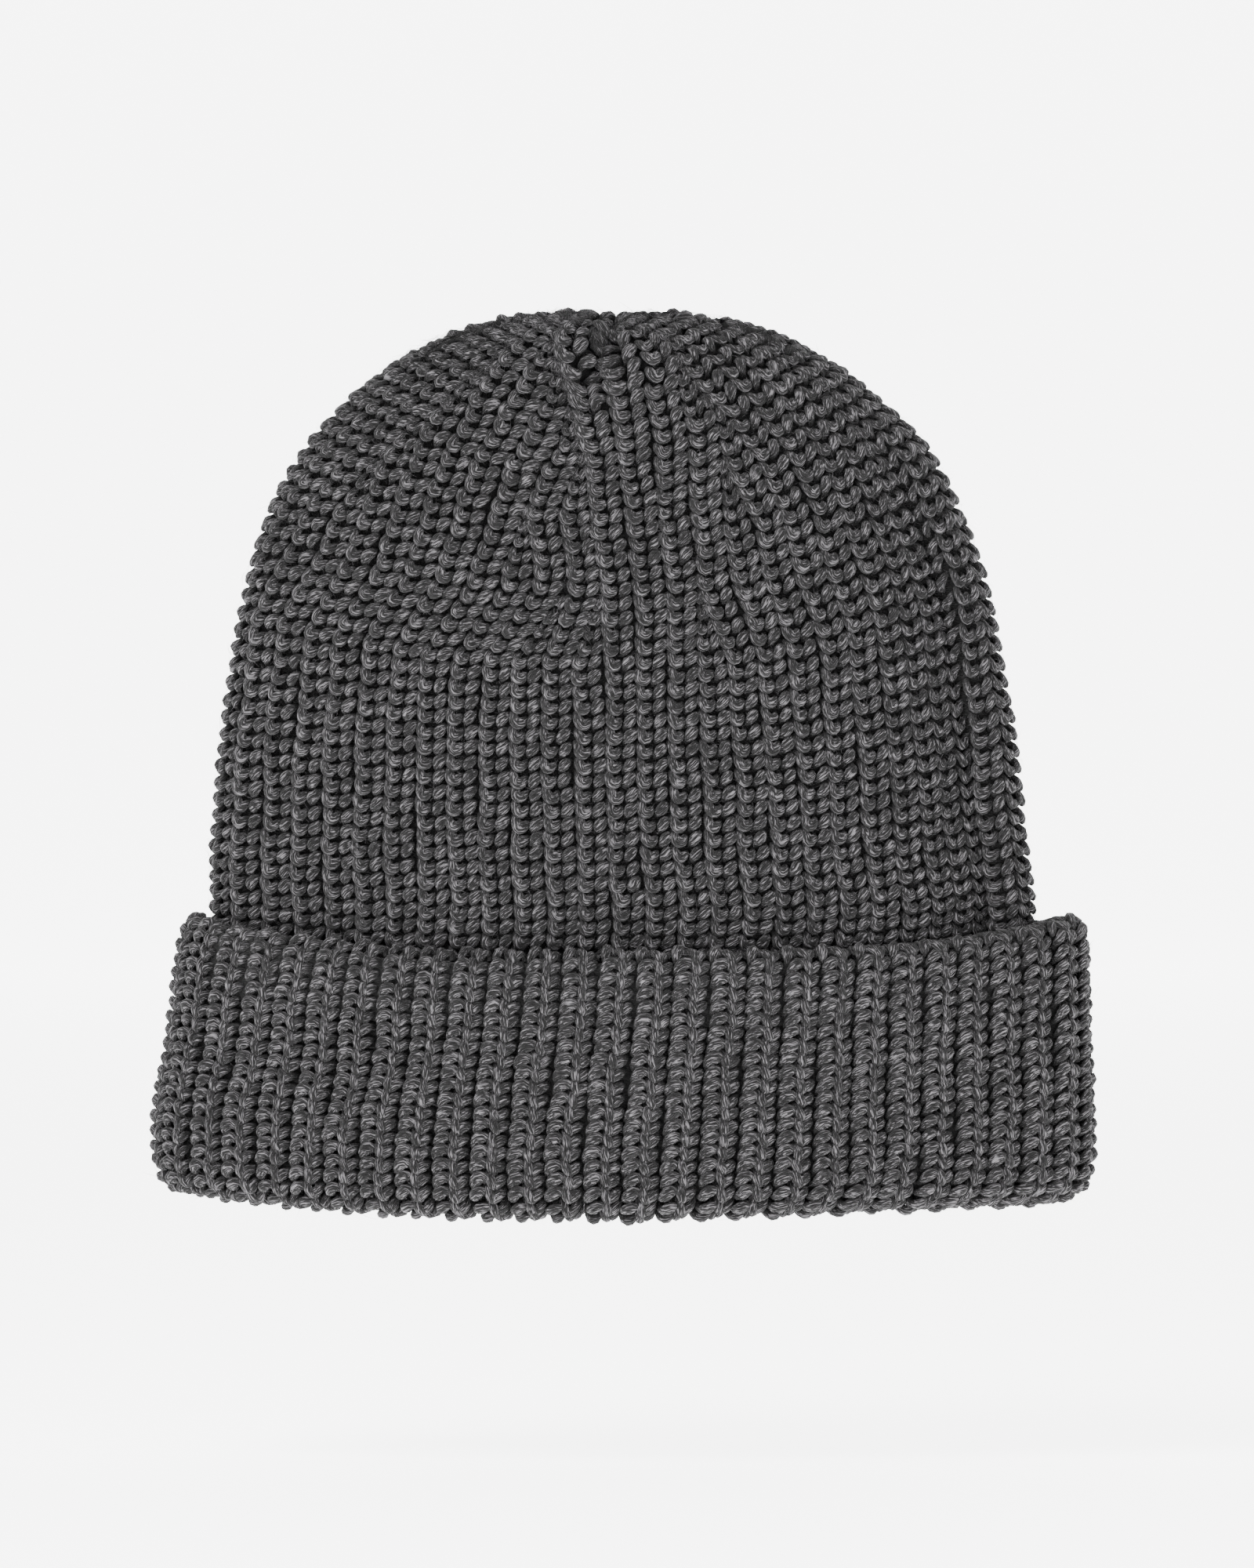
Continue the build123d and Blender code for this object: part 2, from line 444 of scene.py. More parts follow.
# keep the middle of the front where it is
mid_front = (rib_at(0.0) + 0.5) / COLS
anchor = centre[:, rib_at(0.0)]
centre = centre - (anchor - centre[1, rib_at(0.0)])[:, None]
wave_a = rng.uniform(0, 2 * math.pi, (COLS, 3))


def rib_u(k, row):
    """Middle and width of rib k at a (fractional) course, as shares of the way round."""
    r = np.clip(row - rows_int[0], 0, len(rows_int) - 1.001)
    i = np.floor(r).astype(int)
    f = r - i
    c = centre[i, k] * (1 - f) + centre[i + 1, k] * f
    w = share[i, k] * (1 - f) + share[i + 1, k] * f
    sway = 0.035 * np.sin(row * 0.31 + wave_a[k, 0]) + 0.03 * np.sin(
        row * 0.83 + wave_a[k, 1]
    )
    return c + sway * w, w


def cuff_u(k, row):
    sway = 0.025 * np.sin(row * 0.37 + wave_a[k, 1]) + 0.02 * np.sin(
        row * 0.9 + wave_a[k, 2]
    )
    lean = 0.17 * (np.clip(row, 0, 19) / 19 - 0.5)
    u = (k + 0.5 + sway + lean) / COLS
    # the ribs spread a little across the flat of the front and the back
    return u + 0.045 * np.sin(4 * math.pi * u) / (4 * math.pi), (
        1 + 0.045 * np.cos(4 * math.pi * u)
    ) / COLS


# ------------------------------------------------------------------- strands
def spline_weights(n_ctrl, m):
    """Catmull-Rom weights from n_ctrl points to m samples."""
    out = np.zeros((m, n_ctrl))
    for a, t in enumerate(np.linspace(0, n_ctrl - 1, m)):
        i = min(int(t), n_ctrl - 2)
        f = t - i
        w = (
            -0.5 * f + f * f - 0.5 * f**3,
            1 - 2.5 * f * f + 1.5 * f**3,
            0.5 * f + 2 * f * f - 1.5 * f**3,
            -0.5 * f * f + 0.5 * f**3,
        )
        for o, ww in zip((-1, 0, 1, 2), w):
            out[a, min(max(i + o, 0), n_ctrl - 1)] += ww
    return out


def sweep(points, normals, ra, rn, sides):
    """Rings round each centre line. points (n, m, 3), ra and rn (n, m)."""
    t = normalise(np.gradient(points, axis=1))
    nn = normalise(normals - (normals * t).sum(-1, keepdims=True) * t)
    bb = np.cross(t, nn)
    ang = np.linspace(0, 2 * math.pi, sides, endpoint=False)
    ca, sa = np.cos(ang)[:, None], np.sin(ang)[:, None]
    return (
        points[:, :, None]
        + ra[:, :, None, None] * ca * bb[:, :, None]
        + rn[:, :, None, None] * sa * nn[:, :, None]
    )


class Bag:
    """Strands gathered for one piece."""

    def __init__(self):
        self.parts = []

    def add(self, rings, tone=None, lift=None):
        self.parts.append((rings, tone, lift))

    def mesh(self, name):
        verts, faces, yarn, atlas, tones, lifts = [], [], [], [], [], []
        n_all = sum(part[0].shape[0] for part in self.parts)
        across = max(1, int(math.ceil(math.sqrt(n_all))))
        cell = 1.0 / across
        base_v, strand = 0, 0
        for rings, tone, lift in self.parts:
            n, m, s, _ = rings.shape
            verts.append(rings.reshape(-1, 3))
            a, i, j = np.meshgrid(
                np.arange(n), np.arange(m - 1), np.arange(s), indexing="ij"
            )
            j2 = (j + 1) % s
            v = lambda ii, jj: base_v + (a * m + ii) * s + jj
            faces.append(
                np.stack([v(i, j), v(i, j2), v(i + 1, j2), v(i + 1, j)], -1).reshape(
                    -1, 4
                )
            )
            mid = rings.mean(2)
            length = np.concatenate(
                [
                    np.zeros((n, 1)),
                    np.cumsum(np.linalg.norm(np.diff(mid, axis=1), axis=-1), 1),
                ],
                1,
            )
            girth = np.linalg.norm(rings - np.roll(rings, 1, 2), axis=-1).sum(2).mean(1)
            off = rng.uniform(0, 400, (n, 2))
            lu = length + off[:, :1]
            jv = np.stack([j, j + 1, j + 1, j], -1) / s
            iv = np.stack([i, i, i + 1, i + 1], -1)
            yu = lu[a[..., None], iv]
            yv = off[:, 1][a][..., None] + jv * girth[a][..., None]
            yarn.append(np.stack([yu, yv], -1).reshape(-1, 2))
            cx = ((strand + a) % across)[..., None]
            cy = ((strand + a) // across)[..., None]
            au = (cx + 0.06 + 0.88 * iv / (m - 1)) * cell
            av = (cy + 0.06 + 0.88 * jv) * cell
            atlas.append(np.stack([au, av], -1).reshape(-1, 2))
            tn = (
                rng.normal(0, 1, n)
                if tone is None
                else np.broadcast_to(np.asarray(tone, float), (n,))
            )
            tones.append(np.repeat(tn, m * s))
            # pieces without a given height get 2.0, which leaves them almost free of the painted shade
            lifts.append(np.full(n * m * s, 2.0) if lift is None else lift.reshape(-1))
            base_v += n * m * s
            strand += n
        return make_mesh(
            name,
            np.concatenate(verts) * MM,
            np.concatenate(faces),
            np.concatenate(yarn),
            np.concatenate(atlas),
            np.concatenate(tones),
            np.concatenate(lifts),
        )


def make_mesh(name, verts, quads, yarn, atlas, tone, lift):
    me = bpy.data.meshes.new(name)
    me.vertices.add(len(verts))
    me.vertices.foreach_set("co", verts.astype(np.float32).ravel())
    me.loops.add(len(quads) * 4)
    me.loops.foreach_set("vertex_index", quads.astype(np.int32).ravel())
    me.polygons.add(len(quads))
    me.polygons.foreach_set("loop_start", (np.arange(len(quads)) * 4).astype(np.int32))
    me.polygons.foreach_set("use_smooth", np.ones(len(quads), bool))
    uv = me.uv_layers.new(name="yarn")
    uv.data.foreach_set("uv", yarn.astype(np.float32).ravel())
    uv = me.uv_layers.new(name="OFBake")
    uv.data.foreach_set("uv", atlas.astype(np.float32).ravel())
    at = me.attributes.new("tone", "FLOAT", "POINT")
    at.data.foreach_set("value", tone.astype(np.float32))
    # lift: height out of the fabric, which the wool material turns into painted shade
    at = me.attributes.new("lift", "FLOAT", "POINT")
    at.data.foreach_set("value", lift.astype(np.float32))
    me.update(calc_edges=True)
    me.validate()
    ob = bpy.data.objects.new(name, me)
    bpy.context.scene.collection.objects.link(ob)
    return ob


# A stitch is drawn in its cell: s across the rib, t up the course, h out of the face in mm.
FACE = [  # the hat's face: an arm that turns into a foot round the left of a hole, and a full right bead
    dict(
        m=13,
        pts=[
            (-0.440, 0.68, -0.6),
            (-0.400, 0.34, 0.65),
            (-0.332, 0.04, 1.1),
            (-0.250, -0.12, 1.2),
            (-0.155, -0.05, 1.1),
            (-0.070, 0.11, 0.5),
            (-0.020, 0.27, -1.1),
        ],
        ra=[0.9, 1.15, 1.36, 1.5, 1.32, 1.0, 0.7],
        rn=[0.8, 1.0, 1.05, 1.1, 1.05, 0.9, 0.7],
    ),
    dict(
        m=10,
        pts=[
            (0.125, -0.36, -1.3),
            (0.165, -0.16, 0.35),
            (0.238, 0.06, 1.35),
            (0.315, 0.28, 1.15),
            (0.368, 0.46, 0.2),
            (0.395, 0.60, -1.2),
        ],
        ra=[0.75, 1.12, 1.38, 1.3, 1.0, 0.65],
        rn=[0.7, 0.95, 1.12, 1.0, 0.8, 0.6],
    ),
]
REVERSE = [  # the cuff's face: a slanting lobe, the arm beside it, and the flank running into the valley
    dict(
        m=10,
        pts=[
            (-0.400, -0.62, -1.3),
            (-0.375, -0.30, 0.4),
            (-0.315, 0.01, 1.35),
            (-0.230, 0.21, 1.7),
            (-0.140, 0.24, 1.25),
            (-0.080, 0.11, 0.1),
            (-0.055, -0.04, -1.2),
        ],
        ra=[0.8, 1.12, 1.34, 1.38, 1.18, 0.95, 0.7],
        rn=[0.7, 0.95, 1.1, 1.15, 1.0, 0.85, 0.7],
    ),
    dict(
        m=8,
        pts=[
            (-0.040, 0.70, -0.9),
            (0.015, 0.40, 0.5),
            (0.075, 0.05, 1.2),
            (0.130, -0.28, 1.25),
            (0.160, -0.58, 0.0),
        ],
        ra=[0.75, 0.98, 1.1, 1.05, 0.8],
        rn=[0.75, 0.95, 1.05, 1.0, 0.75],
    ),
    dict(
        m=8,
        pts=[
            (0.145, -0.44, 0.0),
            (0.210, -0.24, 0.95),
            (0.290, -0.03, 0.9),
            (0.365, 0.14, 0.1),
            (0.415, 0.26, -1.5),
        ],
        ra=[0.85, 1.08, 1.2, 1.08, 0.8],
        rn=[0.75, 0.95, 1.0, 0.9, 0.75],
    ),
]
HEM = [  # the last courses under the cast-on edge: small tight loops that close the valleys
    dict(
        m=8,
        pts=[(-0.42, -0.6, -0.6), (-0.36, -0.25, 0.7), (-0.26, 0.15, 1.1), (-0.18, 0.5, 0.2)],
        ra=[0.8, 1.05, 1.05, 0.8],
        rn=[0.8, 0.95, 0.95, 0.8],
    ),
    dict(
        m=8,
        pts=[(-0.16, 0.55, 0.3), (-0.08, 0.2, 1.1), (0.02, -0.2, 1.1), (0.08, -0.6, 0.1)],
        ra=[0.8, 1.05, 1.05, 0.8],
        rn=[0.8, 0.95, 0.95, 0.8],
    ),
    dict(
        m=8,
        pts=[(0.10, -0.6, -0.3), (0.18, -0.2, 0.8), (0.28, 0.15, 0.9), (0.36, 0.5, 0.2)],
        ra=[0.8, 1.05, 1.05, 0.8],
        rn=[0.8, 0.95, 0.95, 0.8],
    ),
    dict(
        m=8,
        pts=[(0.38, 0.55, 0.2), (0.44, 0.2, 0.7), (0.51, -0.15, 0.4), (0.55, -0.5, -0.6)],
        ra=[0.8, 1.0, 1.0, 0.7],
        rn=[0.8, 0.9, 0.9, 0.7],
    ),
]

def knit(bag, grid, cells, ribs, face, detail, sides, scale=1.0, height=1.0, ripple=1.0):
    """Adds every stitch in cells, (rib, course) pairs, to the bag."""
    k, row = cells[:, 0].astype(int), cells[:, 1].astype(float)
    n = len(k)
    shift = rng.normal(0, 1, (n, 3)) * np.array([0.018, 0.03, 0.10]) * ripple
    fat = 1 + 0.05 * rng.normal(0, 1, n) * ripple
    raise_rib = 0.12 * np.sin(k * 12.9898) * ripple
    for strand in face:
        m = max(5, int(round(strand["m"] * detail)))
        ctrl = np.tile(np.array(strand["pts"]), (n, 1, 1))
        ctrl[..., 2] *= height
        ctrl = ctrl + shift[:, None] + rng.normal(0, 1, ctrl.shape) * np.array(
            [0.010, 0.022, 0.06]
        ) * ripple
        w = spline_weights(ctrl.shape[1], m)
        loc = np.einsum("ac,ncd->nad", w, ctrl)
        rr = row[:, None] + loc[..., 1]
        c, wd = ribs(k[:, None], rr)
        pos, nn = grid.at(rr, c + loc[..., 0] * wd)
        wide = np.linalg.norm(
            grid.at(row, c[:, m // 2] + wd[:, m // 2] / 2)[0]
            - grid.at(row, c[:, m // 2] - wd[:, m // 2] / 2)[0],
            axis=-1,
        )
        tall = np.linalg.norm(
            grid.at(row + 0.5, c[:, m // 2])[0] - grid.at(row - 0.5, c[:, m // 2])[0],
            axis=-1,
        )
        size = np.clip(0.75 * wide / 7.5 + 0.25 * tall / COURSE, 0.66, 1.22)
        pos = pos + nn * ((loc[..., 2] + raise_rib[:, None]) * np.minimum(size, 1.1)[:, None])[..., None]
        f = (fat * size * scale)[:, None]
        ra = (w @ np.array(strand["ra"]))[None] * f
        rn = (w @ np.array(strand["rn"]))[None] * f
        turn = np.sin(np.linspace(0, 2 * math.pi, sides, endpoint=False))
        # lift is each ring point's height out of the face; the wool material turns it into painted shade, darker
        # deep down and on the strand's underside
        bag.add(sweep(pos, nn, ra, rn, sides), lift=loc[..., 2][..., None] + rn[..., None] * turn)


def cells_of(rows, cull=None):
    out = []
    for row in rows:
        for k in range(COLS):
            if cull and not cull(k, row):
                continue
            out.append((k, row))
    return np.array(out, float)


def alive(k, row):
    return k not in gone or row <= gone[k]


def lining(name, grid, r0, r1, depth, n_rows):
    """A closed sheet just behind the stitches, so that no gap shows through; its near-black colour is painted shade
    for the depth behind and between the stitches.
    """
    rows = np.linspace(r0, r1, n_rows)
    u = np.arange(COLS * 5) / (COLS * 5)
    rr, uu = np.meshgrid(rows, u, indexing="ij")
    pos, nn = grid.at(rr, uu)
    p = pos + nn * depth
    n, m = p.shape[:2]
    i, j = np.meshgrid(np.arange(n - 1), np.arange(m), indexing="ij")
    j2 = (j + 1) % m
    quads = np.stack([i * m + j, i * m + j2, (i + 1) * m + j2, (i + 1) * m + j], -1)
    jv = np.stack([j, j + 1, j + 1, j], -1)
    iv = np.stack([i, i, i + 1, i + 1], -1)
    yarn = np.stack([jv * 1.5, iv * 3.0], -1)
    atlas = np.stack([0.01 + 0.98 * jv / m, 0.01 + 0.98 * iv / (n - 1)], -1)
    return make_mesh(
        name,
        p.reshape(-1, 3) * MM,
        quads.reshape(-1, 4),
        yarn.reshape(-1, 2),
        atlas.reshape(-1, 2),
        np.full(n * m, -1.0),
        # a height under the face, so the wool material gives the sheet its strongest painted shade
        np.full(n * m, -0.2),
    )


# ------------------------------------------------------------------ materials
def wool(name, dark, mid, light, hair=1.0):
    mat = bpy.data.materials.new(name)
    mat.use_nodes = True
    nt = mat.node_tree
    nt.nodes.clear()
    N, L = nt.nodes.new, nt.links.new
    out = N("ShaderNodeOutputMaterial")
    bsdf = N("ShaderNodeBsdfPrincipled")
    L(bsdf.outputs[0], out.inputs[0])
    bsdf.inputs["Roughness"].default_value = 0.85
    bsdf.inputs["Specular IOR Level"].default_value = 0.15
    bsdf.inputs["Sheen Weight"].default_value = 0.05
    bsdf.inputs["Sheen Roughness"].default_value = 0.5
    uv = N("ShaderNodeUVMap")
    uv.uv_map = "yarn"
    sep = N("ShaderNodeSeparateXYZ")
    L(uv.outputs[0], sep.inputs[0])
    # the fibres run along the yarn with a slight twist
    tw = N("ShaderNodeMath")
    tw.operation = "MULTIPLY_ADD"
    tw.inputs[1].default_value = 0.38
    L(sep.outputs[0], tw.inputs[0])
    L(sep.outputs[1], tw.inputs[2])

    def streak(along, across, seed, detail, dist):
        a = N("ShaderNodeMath")
        a.operation = "MULTIPLY"
        a.inputs[1].default_value = along
        L(sep.outputs[0], a.inputs[0])
        b = N("ShaderNodeMath")
        b.operation = "MULTIPLY"
        b.inputs[1].default_value = across
        L(tw.outputs[0], b.inputs[0])
        comb = N("ShaderNodeCombineXYZ")
        L(a.outputs[0], comb.inputs[0])
        L(b.outputs[0], comb.inputs[1])
        comb.inputs[2].default_value = seed
        n = N("ShaderNodeTexNoise")
        n.inputs["Scale"].default_value = 1.0
        n.inputs["Detail"].default_value = detail
        n.inputs["Roughness"].default_value = 0.6
        n.inputs["Distortion"].default_value = dist
        L(comb.outputs[0], n.inputs["Vector"])
        return n.outputs["Fac"]

    fine = streak(1.1, 4.8, 3.7, 1.5, 0.15)
    clump = streak(0.7, 2.8, 7.1, 1.0, 0.2)
    broad = streak(0.2, 0.6, 11.2, 0.0, 0.2)

    def mix(a, b, k):
        n = N("ShaderNodeMath")
        n.operation = "MULTIPLY_ADD"
        L(b, n.inputs[0])
        n.inputs[1].default_value = k
        L(a, n.inputs[2])
        return n.outputs[0]

    fibres = mix(fine, clump, 0.85)
    value = mix(fibres, broad, 0.15)
    tone = N("ShaderNodeAttribute")
    tone.attribute_name = "tone"
    tone.attribute_type = "GEOMETRY"
    value = mix(value, tone.outputs["Fac"], 0.008)
    ramp = N("ShaderNodeValToRGB")
    r = ramp.color_ramp
    r.elements[0].position, r.elements[0].color = 0.43, (*dark, 1)
    r.elements[1].position, r.elements[1].color = 0.52, (*mid, 1)
    e = r.elements.new(0.605)
    e.color = (*light, 1)
    part = N("ShaderNodeMath")
    part.operation = "MULTIPLY"
    part.inputs[1].default_value = 0.5
    L(value, part.inputs[0])
    L(part.outputs[0], ramp.inputs[0])
    # painted shade: the base colour is darkened where the yarn lies deep in the fabric and on the undersides of the
    # strands, standing in for the shade that the fibres on top cast
    high = N("ShaderNodeAttribute")
    high.attribute_name = "lift"
    high.attribute_type = "GEOMETRY"
    span = N("ShaderNodeMapRange")
    span.interpolation_type = "SMOOTHSTEP"
    span.inputs["From Min"].default_value = 0.0
    span.inputs["From Max"].default_value = 2.35
    span.inputs["To Min"].default_value = 0.12
    span.inputs["To Max"].default_value = 1.0
    L(high.outputs["Fac"], span.inputs["Value"])
    shade = N("ShaderNodeVectorMath")
    shade.operation = "SCALE"
    L(ramp.outputs[0], shade.inputs[0])
    L(span.outputs[0], shade.inputs["Scale"])
    L(shade.outputs[0], bsdf.inputs["Base Color"])
    bump = N("ShaderNodeBump")
    bump.inputs["Strength"].default_value = 1.0 * hair
    bump.inputs["Distance"].default_value = 0.0010
    L(fibres, bump.inputs["Height"])
    L(bump.outputs[0], bsdf.inputs["Normal"])
    return mat


DARK, MID, LIGHT = (0.0019, 0.00175, 0.0019), (0.0120, 0.0113, 0.0121), (0.148, 0.1415, 0.1495)
deep = lambda c, f: tuple(v * f for v in c)
m_rib = wool("rib_knit_wool", deep(DARK, 0.62), deep(MID, 0.61), deep(LIGHT, 0.73))
m_cuff = wool("cuff_knit_wool", deep(DARK, 0.66), deep(MID, 0.65), deep(LIGHT, 0.79))
m_edge = wool("edge_yarn_wool", deep(DARK, 0.6), deep(MID, 0.6), deep(LIGHT, 0.68))
m_seam = wool("seam_yarn_wool", deep(DARK, 0.7), deep(MID, 0.7), deep(LIGHT, 0.8))
# near-black backing colour: painted shade for the space behind the stitches
m_shade_backing = wool("backing_painted_shade", (0.0012, 0.0012, 0.0013), (0.004, 0.0038, 0.004), (0.012, 0.0115, 0.012))

pieces = []


def finish_piece(ob, mat, body, nodes=()):
    ob.data.materials.append(mat)
    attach(ob, body)
    if nodes:
        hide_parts(*nodes)
    pieces.append(ob)
    return ob


# ------------------------------------------------------------------- the hat
M, S = ((1.0, 8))

for name, a, b, node in (
    ("hat_face_lower", -1, 8, ("body_panel",)),
    ("hat_face_middle", 8, 17, ()),
    ("hat_face_upper", 17, 26, ()),
    ("crown_face_lower", 26, 35, ("crown_panel",)),
    ("crown_face_upper", 35, 44, ()),
):
    bag = Bag()
    knit(bag, hat, cells_of(range(a, b), alive), rib_u, FACE, M, S, height=1.15)
    finish_piece(bag.mesh(name), m_rib, "hat", node)

bag = Bag()
knit(bag, hat, cells_of(range(LOW_ROW + 1, -1)), rib_u, FACE, 0.75, 6)
finish_piece(bag.mesh("hat_face_under_cuff"), m_rib, "hat")

finish_piece(lining("hat_core", hat, LOW_ROW + 0.3, 43.95, -2.1, 150), m_shade_backing, "hat")

# inside of the hat: the same rib, from its other side
bag = Bag()
knit(bag, hat_in, cells_of(range(LOW_ROW + 1, 12)), rib_u, REVERSE[:2], 0.65, 5, scale=0.85, height=0.7)
finish_piece(bag.mesh("hat_lining_lower"), m_rib, "hat")
bag = Bag()
knit(bag, hat_in, cells_of(range(12, 36), alive), rib_u, REVERSE[:2], 0.65, 5, scale=0.85, height=0.7)
finish_piece(bag.mesh("hat_lining_upper"), m_rib, "hat")
finish_piece(lining("hat_core_inside", hat_in, LOW_ROW + 0.3, 38, -0.7, 90), m_shade_backing, "hat")


def radial(bag, us, path, ra, rn, m, sides):
    """Strands that run up the hat at fixed shares of the way round. path: (course, sideways share, h)."""
    path = np.array(path, float)
    w = spline_weights(len(path), m)
    loc = np.tile((w @ path)[None], (len(us), 1, 1))
    loc[..., 2] += rng.normal(0, 0.12, (len(us), 1)) - 1.2
    pos, nn = hat.at(loc[..., 0], us[:, None] + loc[..., 1])
    nn = normalise(np.broadcast_to(hat.at(np.full(24, 42.5), np.arange(24) / 24)[1].mean(0), nn.shape))
    pos = pos + nn * loc[..., 2][..., None]
    a = np.tile((w @ np.array(ra))[None], (len(us), 1))
    b = np.tile((w @ np.array(rn))[None], (len(us), 1))
    # painted shade: these loops deep in the pit get a low height, so the wool material darkens their colour
    bag.add(sweep(pos, nn, a, b, sides), lift=np.full(a.shape + (sides,), 0.3))


# the last course, drawn up into a bunch round a small dark pit
bag = Bag()
turn = (np.arange(9) + rng.uniform(-0.15, 0.15, 9)) / 9
radial(bag, turn, [(43.6, 0.0, -3.6), (43.4, 0.0, -1.6), (43.05, 0.01, 0.2), (42.5, 0.02, 0.8), (41.9, 0.025, -0.6)],
       [0.7, 0.9, 1.25, 1.35, 0.9], [0.7, 0.9, 1.15, 1.15, 0.8], 10, 8)
radial(bag, turn + 0.055, [(43.6, 0.0, -4.0), (43.35, 0.0, -2.4), (42.9, -0.01, -0.4), (42.3, -0.01, 0.3), (41.7, 0.0, -0.8)],
       [0.7, 0.9, 1.1, 1.2, 0.9], [0.7, 0.9, 1.0, 1.0, 0.8], 10, 8)
finish_piece(bag.mesh("gather_loops"), m_seam, "hat", ("crown_gather",))


def ply(centre, radius, m, sides, r, turns):
    """Two plies twisted round a centre line. centre (m, 3) with the first point after the last for a closed loop."""
    t = normalise(np.gradient(centre, axis=0))
    side = normalise(np.cross(t, np.array([0.13, 0.21, 1.0])))
    up = np.cross(t, side)
    a = np.linspace(0, 2 * math.pi * turns, len(centre))
    rings = []
    for ph in (0, math.pi):
        p = centre + radius * (np.cos(a + ph)[:, None] * side + np.sin(a + ph)[:, None] * up)
        rings.append(sweep(p[None], up[None], np.full((1, len(p)), r), np.full((1, len(p)), r), sides)[0])
    return np.stack(rings)


bag = Bag()
a = np.linspace(0, 2 * math.pi, 73)
bag.add(ply(np.stack([-3.6 + 3.0 * np.cos(a), 3.0 * np.sin(a), 211.2 + 0 * a], -1), 0.52, 73, 8, 0.66, 7))
finish_piece(bag.mesh("draw_up_yarn"), m_seam, "hat", ("gather_yarn",))
bag = Bag()
trefoil = np.stack([np.sin(a) + 2 * np.sin(2 * a), np.cos(a) - 2 * np.cos(2 * a), -1.3 * np.sin(3 * a)], -1)
bag.add(ply(np.array([-0.6, 0, 207.7]) + trefoil * 0.5, 0.28, 73, 6, 0.42, 6))
for dx in (-1.0, 1.2):
    b = np.linspace(0, 1, 12)[:, None]
    tail = np.array([-0.6 + 0.5 * dx, 0, 206.8]) + b * np.array([1.4 * dx, 0.8, -1.6]) + b * b * np.array([0.6 * dx, -0.9, -0.8])
    bag.add(ply(tail, 0.28, 12, 6, 0.42, 1.5))
finish_piece(bag.mesh("draw_up_knot"), m_seam, "hat", ("gather_knot",))


def seam(bag, grid, r0, r1, strands, m, sides):
    """A line of seam stitches up the middle of the back. Strand points: mm across, course, mm out."""
    rows = np.arange(r0, r1, 1.0)
    per = np.linalg.norm(grid.at(rows, np.full(len(rows), 0.004))[0] - grid.at(rows, np.full(len(rows), -0.004))[0], axis=-1) / 0.008
    for pts, ra in strands:
        w = spline_weights(len(pts), m)
        loc = np.tile((w @ np.array(pts))[None], (len(rows), 1, 1))
        loc = loc + rng.normal(0, 1, (len(rows), 1, 3)) * np.array([0.12, 0.04, 0.08])
        pos, nn = grid.at(rows[:, None] + loc[..., 1], loc[..., 0] / per[:, None])
        pos = pos + nn * loc[..., 2][..., None]
        f = np.tile((w @ np.array(ra))[None], (len(rows), 1))
        bag.add(sweep(pos, nn, f, f * 0.9, sides))


SELVEDGE = [
    ([(-3.8, 0.45, 0.2), (-2.7, 0.1, 1.7), (-1.5, -0.2, 2.3), (-0.4, -0.5, 1.4)], [0.8, 1.15, 1.15, 0.8]),
    ([(3.8, 0.45, 0.2), (2.7, 0.1, 1.7), (1.5, -0.2, 2.3), (0.4, -0.5, 1.4)], [0.8, 1.15, 1.15, 0.8]),
    ([(-3.9, -0.4, 0.0), (-3.7, 0.0, 0.6), (-3.9, 0.4, 0.0)], [0.8, 1.0, 0.8]),
    ([(3.9, -0.4, 0.0), (3.7, 0.0, 0.6), (3.9, 0.4, 0.0)], [0.8, 1.0, 0.8]),
]
zs_back = hat_in.at(np.arange(LOW_ROW, 44, 0.25), np.zeros((44 - LOW_ROW) * 4))[0][:, 2]
row_of = lambda z: LOW_ROW + 0.25 * float(np.argmax(zs_back > z))
split = math.floor(row_of(165))
bag = Bag()
seam(bag, hat_in, LOW_ROW + 1, split, SELVEDGE, 7, 6)
finish_piece(bag.mesh("back_seam_allowance"), m_seam, "hat", ("back_seam",))
bag = Bag()
seam(bag, hat_in, split, math.floor(row_of(202)), SELVEDGE, 7, 6)
finish_piece(bag.mesh("crown_seam_allowance"), m_seam, "hat", ("crown_seam",))

# ------------------------------------------------------------------ the cuff
for name, a, b, node in (
    ("cuff_fold", -8, 1, ("fold_edge",)),
    ("cuff_face_lower", 1, 10, ("cuff_band",)),
    ("cuff_face_upper", 10, 19, ()),
):
    bag = Bag()
    knit(bag, cuff, cells_of(np.arange(a, b)), cuff_u, REVERSE, M, S, height=1.15)
    finish_piece(bag.mesh(name), m_cuff, "cuff", node)
bag = Bag()
knit(bag, cuff, cells_of([19.0, 19.85]), cuff_u, REVERSE, M, S, scale=0.94, height=1.0)
knit(bag, cuff, cells_of([20.6, 21.3]), lambda k, r: (cuff_u(k, r)[0] + 0.0018, cuff_u(k, r)[1]), HEM, 0.9, 7, scale=0.82, height=0.6)
knit(bag, cuff, cells_of([22.1, 23.1, 24.1, 25.1, 26.1]), cuff_u, FACE[:2], 0.7, 6, scale=0.85, height=0.6)
finish_piece(bag.mesh("cast_on_stitches"), m_edge, "cuff", ("cast_on_edge",))
bag = Bag()
seam(bag, cuff, -6, 19.5, [
    ([(-1.7, -0.35, -0.4), (-0.9, -0.1, 0.7), (0.9, 0.1, 0.9), (1.7, 0.35, -0.3)], [0.8, 1.05, 1.05, 0.8]),
    ([(1.5, -0.55, -1.0), (0.4, -0.5, 0.1), (-0.6, -0.45, 0.0), (-1.5, -0.4, -1.0)], [0.8, 0.9, 0.9, 0.8]),
], 7, 6)
finish_piece(bag.mesh("cuff_seam_stitches"), m_seam, "cuff", ("cuff_seam",))
finish_piece(lining("cuff_core", cuff, -7.8, 26.5, -1.9, 110), m_shade_backing, "cuff")

